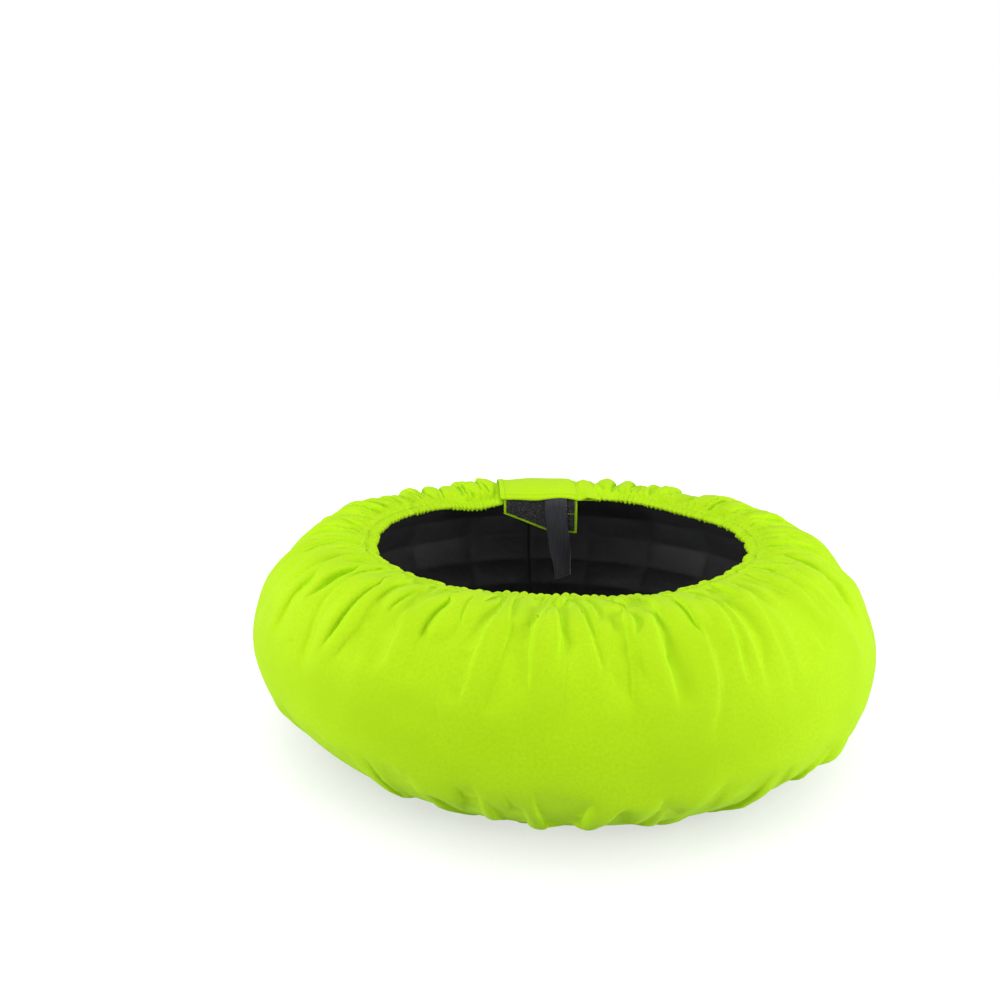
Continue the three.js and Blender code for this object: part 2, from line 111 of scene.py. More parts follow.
# The bush where the mains lead comes in, at the middle of the tread. The CAD model's felt has 36 columns
# round the ring, and the bush sits at the 34th.
GROMMET_COLUMN_SHARE = 34 / 36
GROMMET_BORE = 4.5 * MM
GROMMET_BODY = 6.5 * MM
GROMMET_HOLE = 6.9 * MM
GROMMET_HOLE_REACH = 5 * MM
GROMMET_FLANGE = 10.5 * MM
GROMMET_FLANGE_THICKNESS = 2 * MM
GROMMET_INNER = -7 * MM
GROMMET_BEVEL = 0.9 * MM

SEED = 7
CLOTH_UV = "cloth"
# A wave texture of scale 1 repeats every 0.314 units
WAVE_UNIT = math.pi / 10


# Section

def bezier(points, t):
    """Points of a Bezier curve of any degree at the parameters t."""
    points = [np.outer(np.ones_like(t), p) for p in points]
    while len(points) > 1:
        points = [a + (b - a) * t[:, None] for a, b in zip(points, points[1:])]
    return points[0]


def mix(a, b, share):
    """A value between a and b."""
    return a + (b - a) * share


class Section:
    """The ring's plain outer section from the upper hem over the tread to the lower hem. Its distances s go
    on below 0, where a loose panel hangs over the upper hem in a bend and then straight down."""

    samples = 80

    def __init__(self):
        top, middle = HEIGHT - FOLD_HEIGHT, HEIGHT / 2
        rest_out, rest_in = REST_R + REST_WIDTH / 2, REST_R - REST_WIDTH / 2
        curves = [
            [(HEM_R, HEIGHT - HEM_DROP), (mix(HEM_R, SIDE_R, UPPER_SKIRT_BULGE), top), (SIDE_R, top)],
            [(SIDE_R, top), (mix(SIDE_R, CROWN_R, SHOULDER), top), (CROWN_R, mix(middle, top, SHOULDER)),
             (CROWN_R, middle)],
            [(CROWN_R, middle), (CROWN_R, mix(middle, 0, LOWER_SHOULDER)),
             (mix(rest_out, CROWN_R, LOWER_SHOULDER), 0), (rest_out, 0)],
            [(rest_out, 0), (rest_in, 0)],
            [(rest_in, 0), (mix(HEM_R, rest_in, LOWER_SKIRT_BULGE), 0), (HEM_R, LOWER_HEM_RISE)],
        ]
        t = np.linspace(0, 1, self.samples + 1)
        runs = [bezier(curve, t)[(0 if k == 0 else 1):] for k, curve in enumerate(curves)]
        line = np.concatenate(runs)
        steps = np.linalg.norm(np.diff(line, axis=0), axis=1)
        reach = np.concatenate([[0], np.cumsum(steps)])
        along = np.gradient(line, reach, axis=0)
        along /= np.linalg.norm(along, axis=1, keepdims=True)
        normal = np.stack([-along[:, 1], along[:, 0]], axis=1)
        self.length = reach[-1]
        self.reach = reach
        self.crown_s = reach[2 * self.samples]
        self.bend_start = math.atan2(-normal[0, 0], normal[0, 1])
        self.bend_length = (math.pi / 2 - self.bend_start) * HANG_BEND
        hang, hang_normal, hang_s = self.hang(line[0])
        self.line = np.concatenate([hang, line])
        self.normal = np.concatenate([hang_normal, normal])
        self.s = np.concatenate([hang_s, reach])

    def hang(self, hem):
        """The bend over the hem and the straight fall below it, as points, normals and distances below 0."""
        s = -np.concatenate([[LONGEST_HANG], np.linspace(self.bend_length, 0, 12, endpoint=False)])
        angle = self.bend_start + np.minimum(-s, self.bend_length) / HANG_BEND
        r = hem[0] + HANG_BEND * (math.sin(self.bend_start) - np.sin(angle))
        z = hem[1] + HANG_BEND * (np.cos(angle) - math.cos(self.bend_start))
        z = z - np.maximum(0, -s - self.bend_length)
        return np.stack([r, z], axis=1), np.stack([-np.sin(angle), np.cos(angle)], axis=1), s

    def station(self, curve, t):
        """The distance s of a place on one of the five curves."""
        return float(np.interp((curve + t) * self.samples, np.arange(len(self.reach)), self.reach))

    def at(self, s, height=0.0):
        """Points (r, z) at the distances s, raised outwards by height."""
        point = np.stack([np.interp(s, self.s, self.line[:, k]) for k in (0, 1)], axis=-1)
        return point + self.out(s) * np.asarray(height)[..., None]

    def out(self, s):
        """Outward normals (r, z) at the distances s."""
        normal = np.stack([np.interp(s, self.s, self.normal[:, k]) for k in (0, 1)], axis=-1)
        return normal / np.linalg.norm(normal, axis=-1, keepdims=True)


SECTION = Section()
FELT_START = SECTION.station(1, 0.27)
FELT_END = SECTION.station(2, 0.74)
FLAP_END = SECTION.station(2, 0.48)
TAPE_END = SECTION.station(2, 0.23)


def spun(rz, angle):
    """Points (r, z) turned round the ring's axis to their angles."""
    return np.stack([rz[..., 0] * np.cos(angle), rz[..., 0] * np.sin(angle), rz[..., 1]], axis=-1)


def beside(place, r):
    """The angle of a place beside the closure, which keeps its distance at every radius."""
    return CLOSURE_ANGLE + place / r


# Gathered cover

COVER_TRIANGLES = 192_000
STRIP_LENGTH = 2 * math.pi * CROWN_R - (COVER_LEFT - COVER_RIGHT)
COVER_COLUMNS = 1900
HEM_ROW_STEP = 2.2 * MM
ROW_STEP = 5.5 * MM
HEM_ZONE = 24 * MM
HEM_SEAM = 11 * MM
HEM_ROLL = 2.1 * MM
SCALLOP = 12.5 * MM
FLOOR_CLEARANCE = 0.6 * MM

# Families of creases, in millimetres: their spacing along the flat cloth, how far from the hem they start and
# end (least and most), their depth, and their width on the steep side
UPPER_CREASES = [
    (13, (10, 13), (20, 40), 3.4, 1.2),
    (24, (11, 22), (44, 84), 6.4, 1.5),
    (30, (16, 52), (86, 160), 7.6, 1.7),
    (44, (50, 96), (130, 190), 6.0, 2.2),
]
LOWER_CREASES = [
    (13, (10, 13), (20, 40), 3.4, 1.2),
    (24, (14, 50), (90, 150), 7.0, 1.6),
    (25, (50, 84), (142, 180), 8.4, 1.8),
    (40, (90, 124), (160, 182), 6.0, 2.2),
]
# A crease's gentle side is this many times as wide as its steep side
GENTLE_SIDE = 4.2
# How far the steep side leans over the crease, as a share of the crease's width
OVERLAP = 0.65


def smooth_noise(rng, count, wavelength, span):
    """A random line of count values with one bump about every wavelength, between about -1 and 1."""
    knots = max(4, int(round(2 * span / wavelength)))
    values = rng.uniform(-1, 1, knots + 1)
    at = np.linspace(0, knots, count)
    low = np.clip(at.astype(int), 0, knots - 1)
    t = at - low
    t = t * t * (3 - 2 * t)
    return values[low] * (1 - t) + values[low + 1] * t


def smoothstep(x, low, high):
    """0 below low, 1 above high, and a smooth rise between them."""
    t = np.clip((x - low) / (high - low), 0, 1)
    return t * t * (3 - 2 * t)


class Cover:
    """The gathered strip on a grid of columns along the ring and rows across the section."""

    def __init__(self, columns, row_s):
        self.rng = np.random.default_rng(SEED)
        self.row_s = row_s
        self.u = np.linspace(0, 1, columns + 1)
        self.flat = self.u * STRIP_LENGTH
        radius = SECTION.at(row_s)[:, 0]
        left, right = beside(COVER_LEFT, radius), beside(COVER_RIGHT, radius) + 2 * math.pi
        self.angle = left + (right - left) * self.u[:, None]
        self.edge = np.minimum(row_s, SECTION.length - row_s)
        self.upper = row_s < SECTION.crown_s
        # The strip lies smooth at both ends, where it is sewn to the closure
        left_end = smoothstep(self.flat, 8 * MM, 34 * MM)
        right_end = smoothstep(self.flat[::-1], 24 * MM, 56 * MM)
        self.gathered = left_end * right_end
        self.uv = np.stack(np.meshgrid(self.flat, row_s, indexing="ij"), axis=-1)

    def crest(self):
        """How high the cloth stands between its creases. It puffs up most at the back, and lies flattest on the
        middle of the tread."""
        above = 1 - smoothstep(self.edge, 90 * MM, 190 * MM)
        below = 1 - smoothstep(self.edge, 130 * MM, 184 * MM)
        below = below * mix(0.4, 1, smoothstep(self.edge, 72 * MM, 115 * MM))
        share = 0.12 + 0.88 * np.where(self.upper, above, below)
        turn = self.angle.mean(axis=1)
        lively = 1 + 0.9 * np.clip(np.sin(turn), 0, 1)
        low_front = self.upper * (1 - smoothstep(self.edge, 30 * MM, 85 * MM))
        share = share * (1 - 0.55 * np.clip(-np.sin(turn), 0, 1)[:, None] ** 2 * low_front)
        height = np.zeros((len(self.u), len(self.row_s)))
        for rows in (self.upper, ~self.upper):
            wide = smooth_noise(self.rng, len(self.u), 78 * MM, STRIP_LENGTH)
            narrow = smooth_noise(self.rng, len(self.u), 34 * MM, STRIP_LENGTH)
            height[:, rows] = (6.6 + (2.2 * wide + 1.8 * narrow) * lively)[:, None] * MM
        return height * share

    def creases(self, families, rows):
        """How deep the creases of some families press the cloth in, and how far their steep sides lean over
        them, for the rows of one half."""
        from_hem = self.edge[rows]
        depth = np.zeros((len(self.flat), len(from_hem)))
        lean_over = np.zeros_like(depth)
        for spacing, start, end, size, steep in families:
            for k in range(int(STRIP_LENGTH / (spacing * MM))):
                middle = (k + 0.5 + self.rng.uniform(-0.45, 0.45)) * spacing * MM
                first = self.rng.uniform(*start) * MM
                last = self.rng.uniform(*end) * MM
                lean = self.rng.normal(0, 0.2)
                sway = self.rng.uniform(-3.5, 3.5) * MM
                side = self.rng.choice((-1, 1))
                width = steep * self.rng.uniform(0.75, 1.3) * MM
                strength = size * self.rng.uniform(0.45, 1.15) * MM
                along = smoothstep(from_hem, first - 4 * MM, first + 8 * MM)
                along = along * (1 - smoothstep(from_hem, mix(first, last, 0.6), last))
                line = middle + lean * (from_hem - first) + sway * np.sin(from_hem / (17 * MM) + k)
                spread = width * (0.85 + from_hem / (120 * MM))
                margin = 4 * GENTLE_SIDE * spread.max()
                low, high = np.searchsorted(self.flat, [line.min() - margin, line.max() + margin])
                off = side * (self.flat[low:high, None] - line) / spread
                steep_side = np.clip(-off, 0, None)
                off = np.where(off > 0, off / GENTLE_SIDE, off)
                depth[low:high] += strength * along * np.exp(0.3 - np.sqrt(off * off + 0.09))
                leaning = side * OVERLAP * np.minimum(spread, 0.6 * strength) * along
                lean_over[low:high] += leaning * steep_side * np.exp(1 - steep_side)
        return depth, lean_over

    def points(self):
        """The cloth's outer face: crests less creases, scalloped over the elastic, and drawn in at the seam."""
        height = self.crest()
        lean_over = np.zeros_like(height)
        for families, rows in ((UPPER_CREASES, self.upper), (LOWER_CREASES, ~self.upper)):
            depth, lean_over[:, rows] = self.creases(families, rows)
            height[:, rows] -= depth
        height *= smoothstep(self.edge, HEM_SEAM - 2 * MM, HEM_SEAM + 14 * MM)
        over_felt = smoothstep(self.row_s, FELT_START - 16 * MM, FELT_START - 4 * MM)
        over_felt = over_felt * (1 - smoothstep(self.row_s, FELT_END + 4 * MM, FELT_END + 16 * MM))
        height = np.maximum(height, -2.4 * MM + 1.8 * MM * over_felt)
        scallop = np.zeros_like(height)
        for rows in (self.upper, ~self.upper):
            wave = smooth_noise(self.rng, len(self.u), 26 * MM, STRIP_LENGTH)
            pitch = SCALLOP * (1 + 0.38 * smooth_noise(self.rng, len(self.u), 50 * MM, STRIP_LENGTH))
            turns = np.cumsum(np.full(len(self.u), self.flat[1]) / pitch)
            size = 0.85 + 0.55 * smooth_noise(self.rng, len(self.u), 33 * MM, STRIP_LENGTH)
            puff = (np.abs(np.sin(math.pi * turns)) + 0.02) ** 0.7 * size
            scallop[:, rows] = (1.7 * puff - 1.0 + 0.6 * wave)[:, None]
        # The hem's casing for the elastic ends at its seam
        casing = 1 - smoothstep(self.edge, HEM_SEAM - 2 * MM, HEM_SEAM + 5 * MM)
        seam = np.exp(-((self.edge - HEM_SEAM) / (1.8 * MM)) ** 2)
        height += (1.2 + 1.7 * scallop) * MM * casing - 2.6 * MM * seam
        self.height = height * self.gathered[:, None]
        reach = np.where(self.upper, -scallop, np.minimum(scallop - 1, 0))
        s = self.row_s + 2.2 * MM * reach * casing * self.gathered[:, None]
        self.angle = self.angle + lean_over * self.gathered[:, None] / SECTION.at(self.row_s)[:, 0]
        return self.placed(np.clip(s, -2 * MM, SECTION.length), self.height)

    def placed(self, s, height):
        """Points of the cover at the distances s and heights, kept clear of the floor."""
        rz = SECTION.at(s, height) + self.unevenness()
        rz[..., 1] = np.maximum(rz[..., 1], FLOOR_CLEARANCE)
        return spun(rz, self.angle)

    def backing(self):
        """The cloth's inner face away from the hems. It is smooth, because each point lies under the lowest of
        the columns and rows near it."""
        lowest = self.height
        for axis, near in ((0, 5), (1, 4)):
            lowest = np.minimum.reduce([np.roll(lowest, shift, axis) for shift in range(-near, near + 1)])
        return self.placed(np.broadcast_to(self.row_s, lowest.shape), lowest - CLOTH)

    def with_turned_hems(self, face):
        """Adds the cloth that turns in round the elastic at each hem, and runs back inside to the seam. Gives
        the points, their places on the flat cloth, the rows that have a smooth backing, and that backing."""
        rolls = []
        uvs = []
        turns = np.radians((45, 90, 135, 180))
        runs_back = np.linspace(3 * MM, HEM_SEAM, 3)
        for edge, inner in ((0, 1), (-1, -2)):
            inwards = face[:, inner] - face[:, edge]
            inwards /= np.linalg.norm(inwards, axis=-1, keepdims=True)
            along = np.gradient(face[:, edge], axis=0)
            normal = np.cross(inwards, along) * (1 if edge == 0 else -1)
            normal /= np.linalg.norm(normal, axis=-1, keepdims=True)
            middle = face[:, edge] - normal * HEM_ROLL
            roll = [middle + HEM_ROLL * (math.cos(a) * normal - math.sin(a) * inwards) for a in turns]
            roll += [roll[-1] + inwards * reach for reach in runs_back]
            out = np.array([0, -1 if edge == 0 else 1])
            uv = [self.uv[:, edge] + out * HEM_ROLL * a for a in turns]
            uv += [uv[-1] + out * reach for reach in runs_back]
            rolls.append(np.stack(roll, axis=1))
            uvs.append(np.stack(uv, axis=1))
        points = np.concatenate([rolls[0][:, ::-1], face, rolls[1]], axis=1)
        uv = np.concatenate([uvs[0][:, ::-1], self.uv, uvs[1]], axis=1)
        away = np.flatnonzero(self.edge > HEM_ZONE)
        return points, uv, away + rolls[0].shape[1], self.backing()[:, away]

    def unevenness(self):
        """What isn't quite round or level: the upper hem waves, sags to the left of the closure and stands a
        little higher at the front, and the lower half bulges at the front right."""
        turn = np.degrees(self.angle)
        upper = 1 - smoothstep(self.row_s, 0, 45 * MM)
        sag = np.exp(-((turn - 121) / 11) ** 2) * upper
        r = 1.5 * upper * np.sin(np.radians(turn) * 5 + 1) - 3 * sag
        z = 1.2 * upper * np.sin(np.radians(turn) * 7) - 11 * sag
        hem = 1 - smoothstep(self.row_s, 4 * MM, 24 * MM)
        z = z + 3.5 * hem * np.clip(-np.sin(np.radians(turn)), 0, 1) ** 2
        below = smoothstep(self.row_s, SECTION.crown_s - 30 * MM, SECTION.crown_s + 70 * MM)
        below = below * (1 - smoothstep(self.row_s, SECTION.length - 70 * MM, SECTION.length - 45 * MM))
        r = r + 9 * below * np.exp(-((turn - 315) / 38) ** 2)
        return np.stack([r, z], axis=-1) * MM


def row_places(hem_step, step):
    """Distances across the section, closer together in the hems."""
    hem = np.arange(0, HEM_ZONE, hem_step)
    middle = SECTION.length - 2 * hem[-1]
    count = int(round(middle / step))
    inner = hem[-1] + np.linspace(0, middle, count + 1)[1:-1]
    return np.concatenate([hem, inner, SECTION.length - hem[::-1]])


# Closure, lining and elastic

def smooth_line(x, knots, values):
    """A smooth line through values at the knots, which rise."""
    k = np.clip(np.searchsorted(knots, x) - 1, 0, len(knots) - 2)
    knots, values = np.asarray(knots, float), np.asarray(values, float)
    t = np.clip((x - knots[k]) / (knots[k + 1] - knots[k]), 0, 1)
    return mix(values[k], values[k + 1], t * t * (3 - 2 * t))


def panel(places, s, height):
    """A grid of points at places beside the closure's middle, distances s and heights above the section."""
    height = np.broadcast_to(height, s.shape)
    radius = SECTION.at(s)[..., 0]
    rz = SECTION.at(s, height)
    rz[..., 1] = np.maximum(rz[..., 1], FLOOR_CLEARANCE)
    return spun(rz, beside(places, radius))


def flat_uv(places, s):
    """Places on the flat cloth of a panel."""
    return np.stack([np.broadcast_to(places, s.shape), s], axis=-1)


def flap_grid():
    """The flap: smooth over the tapes, creased where it is sewn down, puffed where it joins the gathers."""
    places = np.linspace(FLAP_RIGHT, FLAP_LEFT, 99)[:, None]
    knots = np.array([-80, -66, -50, -27, 10, 45, 60]) * MM
    overhang = smooth_line(places, knots, np.array([-12.5, -11.5, -8.8, -10.8, -7.4, -9.4, -10.4]) * MM)
    share = np.linspace(0, 1, 96)[None]
    s = mix(-(SECTION.bend_length + overhang), FLAP_END, share)
    knots = np.array([-80, -74, -64, -55, -51, -43, 60]) * MM
    height = smooth_line(places, knots, np.array([0.5, 3.2, 5.6, 1.9, 2.4, 5.1, 5.1]) * MM)
    wave = 0.7 * np.sin(places / (17 * MM) + s / (31 * MM))
    wave = wave + 0.5 * np.sin(places / (9 * MM) - s / (47 * MM) + 1)
    edge = np.minimum(np.minimum(places - FLAP_RIGHT, FLAP_LEFT - places), FLAP_END - s)
    height = height + wave * smoothstep(edge, 0, 16 * MM) * MM * 0.8
    hem = smoothstep(np.minimum(FLAP_LEFT - places, s - s[:, :1]), 8.5 * MM, 7 * MM)
    height = height + 0.5 * MM * hem
    return places, s, height


def tongue_hang(places):
    """How far the tongue hangs below its bend: straight along its square end, then a slant up to the left."""
    slant = (places - COVER_RIGHT - TONGUE_SQUARE_END) / (COVER_LEFT - COVER_RIGHT - TONGUE_SQUARE_END)
    return mix(TONGUE_HANG_RIGHT, TONGUE_HANG_LEFT, np.clip(slant, 0, 1))


def tongue_wave(places, s):
    """The hanging part isn't quite flat."""
    loose = smoothstep(-s, 8 * MM, 40 * MM)
    wide = 1.4 * np.sin(places / (16 * MM) + 0.5)
    narrow = 0.8 * np.sin(s / (9 * MM) + places / (25 * MM))
    return loose * MM * (wide + narrow)


def tongue_grid(margin, last, columns, rows):
    """The tongue, or the tape on it, which stays a margin inside its edges. It ends at the distance last."""
    places = np.linspace(COVER_RIGHT + LAYER_GAP + margin, COVER_LEFT - LAYER_GAP - margin, columns)[:, None]
    lowest = -(SECTION.bend_length + tongue_hang(places) - margin)
    hanging = mix(lowest, 0, np.linspace(0, 1, rows)[None])
    over = np.broadcast_to(np.linspace(0, last, rows + rows // 2)[1:], (columns, rows + rows // 2 - 1))
    s = np.concatenate([hanging, over], axis=1)
    return places, s, tongue_wave(places, s)


def strap_grid():
    """The strap: sewn under the flap, over the hem and down in front of the tongue, where it leans and
    twists."""
    s = mix(-(SECTION.bend_length + STRAP_HANG), STRAP_SEWN, np.linspace(0, 1, 70))[None]
    hang = np.maximum(0, -s - SECTION.bend_length)
    twist = np.radians(50) * smoothstep(hang, 34 * MM, 92 * MM)
    across = np.linspace(-0.5, 0.5, 15)[:, None] * STRAP_WIDTH
    places = STRAP_MIDDLE - 12 * MM * smoothstep(hang, 0, STRAP_HANG) + across * np.cos(twist)
    cupped = 0.8 * MM * np.cos(across / STRAP_WIDTH * math.pi)
    height = HOOK_TOP + LAYER_GAP + across * np.sin(twist) + cupped * smoothstep(hang, 0, 30 * MM)
    return places, np.broadcast_to(s, places.shape), height


def lining_grid():
    """The lining lies under the wires on the tread. It is quilted to the felt, and puffs between its seams.
    One end laps over the other."""
    turned = np.linspace(0, 2 * math.pi + LINING_LAP, 437)[:, None]
    angle = turned + CLOSURE_ANGLE
    s = np.linspace(HEM_SEAM, SECTION.length - HEM_SEAM, 78)[None]
    tread = smoothstep(s, FELT_START - 16 * MM, FELT_START - 3 * MM)
    tread = tread * smoothstep(SECTION.length - s, SECTION.length - FELT_END - 16 * MM,
                               SECTION.length - FELT_END - 3 * MM)
    channel = np.sqrt(np.abs(np.sin(math.pi * (s - SECTION.crown_s) / QUILT_WIDTH)))
    cross = np.abs(np.sin(angle * QUILT_COLUMNS / 2)) ** 0.35
    depth = mix(LINING_SIDE_DEPTH, LINING_TREAD_DEPTH, tread) + QUILT_PUFF * channel * cross
    depth = depth + (CLOTH + LAYER_GAP) * smoothstep(turned, 2 * math.pi - LINING_LAP, 2 * math.pi)
    points = spun(SECTION.at(np.broadcast_to(s, (len(angle), s.size)), -depth), angle)
    return points, np.stack(np.broadcast_arrays(angle * CROWN_R, s), axis=-1)


# Meshes

def in_scene(name, data):
    """A new object with its data, linked to the scene."""
    made = bpy.data.objects.new(name, data)
    bpy.context.scene.collection.objects.link(made)
    return made


def evaluated_mesh(piece):
    """A piece's mesh with its modifiers applied."""
    return bpy.data.meshes.new_from_object(piece.evaluated_get(bpy.context.evaluated_depsgraph_get()))


def bake_modifier(piece, modifier):
    """Takes a modifier's result as the piece's own mesh."""
    mesh = evaluated_mesh(piece)
    piece.modifiers.remove(modifier)
    piece.data = mesh
    mesh.name = piece.name


def below_face(points, depth):
    """A grid of points moved inwards by a depth."""
    normal = np.cross(np.gradient(points, axis=1), np.gradient(points, axis=0))
    normal /= np.maximum(np.linalg.norm(normal, axis=-1, keepdims=True), 1e-12)
    return points - normal * depth


def grid_mesh(name, points, uv, thickness, backed=None, backing=None):
    """A closed shell of cloth. points is a grid of its outer face. Its inner face lies a thickness below. At
    the rows that backed names it lies on the points of backing, and only every third of them is kept."""
    count, rows = points.shape[:2]
    inner = below_face(points, thickness)
    kept = np.ones(rows, bool)
    if backing is not None:
        inner[:, backed] = backing
        kept[backed] = np.arange(len(backed)) % 3 == 0
    inner_rows = np.flatnonzero(kept)
    inner = inner[:, inner_rows]
    vertices = np.concatenate([points.reshape(-1, 3), inner.reshape(-1, 3)])
    offset = count * rows
    wide = len(inner_rows)

    def outer_at(i, j):
        return i * rows + j

    def inner_at(i, j):
        return offset + i * wide + j

    i, j = (a.ravel() for a in np.meshgrid(np.arange(count - 1), np.arange(rows - 1), indexing="ij"))
    faces = [np.column_stack([outer_at(i, j), outer_at(i, j + 1),
                              outer_at(i + 1, j + 1), outer_at(i + 1, j)])]
    i, j = (a.ravel() for a in np.meshgrid(np.arange(count - 1), np.arange(wide - 1), indexing="ij"))
    faces.append(np.column_stack([inner_at(i, j), inner_at(i + 1, j),
                                  inner_at(i + 1, j + 1), inner_at(i, j + 1)]))
    i = np.arange(count - 1)
    for j_out, j_in, flip in ((0, 0, False), (rows - 1, wide - 1, True)):
        edge = np.column_stack([outer_at(i, j_out), outer_at(i + 1, j_out),
                                inner_at(i + 1, j_in), inner_at(i, j_in)])
        faces.append(edge[:, ::-1] if flip else edge)
    faces = np.concatenate(faces).tolist()
    for i_end, flip in ((0, True), (count - 1, False)):
        for k in range(wide - 1):
            j0, j1 = inner_rows[k], inner_rows[k + 1]
            rim = [int(outer_at(i_end, j)) for j in range(j0, j1 + 1)]
            rim += [int(inner_at(i_end, k + 1)), int(inner_at(i_end, k))]
            faces.append(rim if not flip else rim[::-1])
    mesh = bpy.data.meshes.new(name)
    mesh.from_pydata(vertices.tolist(), [], faces)
    mesh.update()
    mesh.shade_smooth()
    flat = np.concatenate([uv.reshape(-1, 2), uv[:, inner_rows].reshape(-1, 2)])
    corners = np.empty(len(mesh.loops), int)
    mesh.loops.foreach_get("vertex_index", corners)
    mesh.uv_layers.new(name=CLOTH_UV).data.foreach_set("uv", flat[corners].ravel())
    return in_scene(name, mesh)


def thin_out(piece, triangles):
    """Leaves out points where the cloth is smooth, so that its creases keep theirs."""
    count = sum(len(face.vertices) - 2 for face in piece.data.polygons)
    modifier = piece.modifiers.new("thinned", "DECIMATE")
    modifier.ratio = triangles / count
    bake_modifier(piece, modifier)


def cut_hole(piece, tool):
    """Cuts a tool's shape out of a piece, and takes the tool away."""
    modifier = piece.modifiers.new("hole", "BOOLEAN")
    modifier.operation = "DIFFERENCE"
    modifier.solver = "FAST"
    modifier.object = tool
    bake_modifier(piece, modifier)
    bpy.data.objects.remove(tool)


def stitch_tree():
    """Geometry Nodes that lay stitches along a line of edges."""
    tree = bpy.data.node_groups.new("stitch_row", "GeometryNodeTree")
    sockets = tree.interface
    sockets.new_socket("Geometry", in_out="INPUT", socket_type="NodeSocketGeometry")
    for name in ("Spacing", "Stitch Length", "Thread Thickness"):
        sockets.new_socket(name, in_out="INPUT", socket_type="NodeSocketFloat")
    sockets.new_socket("Thread Material", in_out="INPUT", socket_type="NodeSocketMaterial")
    sockets.new_socket("Geometry", in_out="OUTPUT", socket_type="NodeSocketGeometry")
    given = add_node(tree, "NodeGroupInput").outputs
    line = add_node(tree, "GeometryNodeMeshToCurve", [("Mesh", given["Geometry"])])
    marks = add_node(tree, "GeometryNodeCurveToPoints",
                     [("Curve", line.outputs[0]), ("Length", given["Spacing"])], mode="LENGTH")
    turn = add_node(tree, "FunctionNodeAlignRotationToVector", [("Vector", marks.outputs["Tangent"])],
                    axis="Z")
    size = add_node(tree, "ShaderNodeCombineXYZ", [("X", given["Thread Thickness"]),
                    ("Y", given["Thread Thickness"]), ("Z", given["Stitch Length"])])
    stitch = add_node(tree, "GeometryNodeMeshIcoSphere", Radius=0.5, Subdivisions=1)
    laid = add_node(tree, "GeometryNodeInstanceOnPoints",
                    [("Points", marks.outputs["Points"]), ("Instance", stitch.outputs["Mesh"]),
                     ("Rotation", turn.outputs["Rotation"]), ("Scale", size.outputs["Vector"])])
    real = add_node(tree, "GeometryNodeRealizeInstances", [("Geometry", laid.outputs[0])])
    smooth = add_node(tree, "GeometryNodeSetShadeSmooth", [("Geometry", real.outputs[0])])
    finished = add_node(tree, "GeometryNodeSetMaterial",
                        [("Geometry", smooth.outputs[0]), ("Material", given["Thread Material"])])
    add_node(tree, "NodeGroupOutput", [("Geometry", finished.outputs[0])])
    return tree


def stitch_rows(name, tree, paths, material, spacing=3.4 * MM, length=2.5 * MM, thickness=0.8 * MM):
    """Stitches along some lines of points, as one plain mesh."""
    points = np.concatenate(paths)
    edges = []
    start = 0
    for path in paths:
        edges += [(k, k + 1) for k in range(start, start + len(path) - 1)]
        start += len(path)
    mesh = bpy.data.meshes.new(name + "_line")
    mesh.from_pydata(points.tolist(), edges, [])
    line = in_scene(name + "_line", mesh)
    modifier = line.modifiers.new("stitches", "NODES")
    modifier.node_group = tree
    given = {"Spacing": spacing, "Stitch Length": length, "Thread Thickness": thickness,
             "Thread Material": material}
    for item in tree.interface.items_tree:
        if item.in_out == "INPUT" and item.name in given:
            modifier[item.identifier] = given[item.name]
    plain = evaluated_mesh(line)
    plain.name = name
    bpy.data.objects.remove(line)
    return in_scene(name, plain)


def turned_mesh(name, profile, turns, matrix):
    """A closed profile of (radius, height) turned round its axis, and set in its place."""
    shape = bmesh.new()
    ring = [shape.verts.new((r, 0, z)) for r, z in profile]
    edges = [shape.edges.new((a, b)) for a, b in zip(ring, ring[1:] + ring[:1])]
    bmesh.ops.spin(shape, geom=ring + edges, axis=(0, 0, 1), cent=(0, 0, 0), angle=2 * math.pi, steps=turns,
                   use_duplicate=False)
    bmesh.ops.remove_doubles(shape, verts=shape.verts, dist=1e-6)
    bmesh.ops.recalc_face_normals(shape, faces=shape.faces)
    mesh = bpy.data.meshes.new(name)
    shape.to_mesh(mesh)
    shape.free()
    mesh.transform(matrix)
    mesh.shade_smooth()
    return in_scene(name, mesh)


# Materials

def linear(hex_colour):
    """An sRGB hex colour as the linear values that a shader takes."""
    srgb = [int(hex_colour[k:k + 2], 16) / 255 for k in (1, 3, 5)]
    return [c / 12.92 if c <= 0.04045 else ((c + 0.055) / 1.055) ** 2.4 for c in srgb] + [1.0]


def add_node(tree, kind, links=(), **settings):
    """Adds a node. settings are its properties or input values, and links is (input name, output) pairs."""
    node = tree.nodes.new(kind)
    for name, value in settings.items():
        if hasattr(node, name):
            setattr(node, name, value)
        else:
            node.inputs[name.replace("_", " ")].default_value = value
    for name, socket in links:
        tree.links.new(socket, node.inputs[name])
    return node


def new_material(name, colour, roughness, metallic=0.0, **values):
    """A Principled material. values are plain numbers for its other sockets."""
    made = bpy.data.materials.new(name)
    made.use_nodes = True
    shader = made.node_tree.nodes["Principled BSDF"]
    shader.inputs["Base Color"].default_value = linear(colour)
    shader.inputs["Roughness"].default_value = roughness
    shader.inputs["Metallic"].default_value = metallic
    for socket, value in values.items():
        shader.inputs[socket.replace("_", " ")].default_value = value
    return made


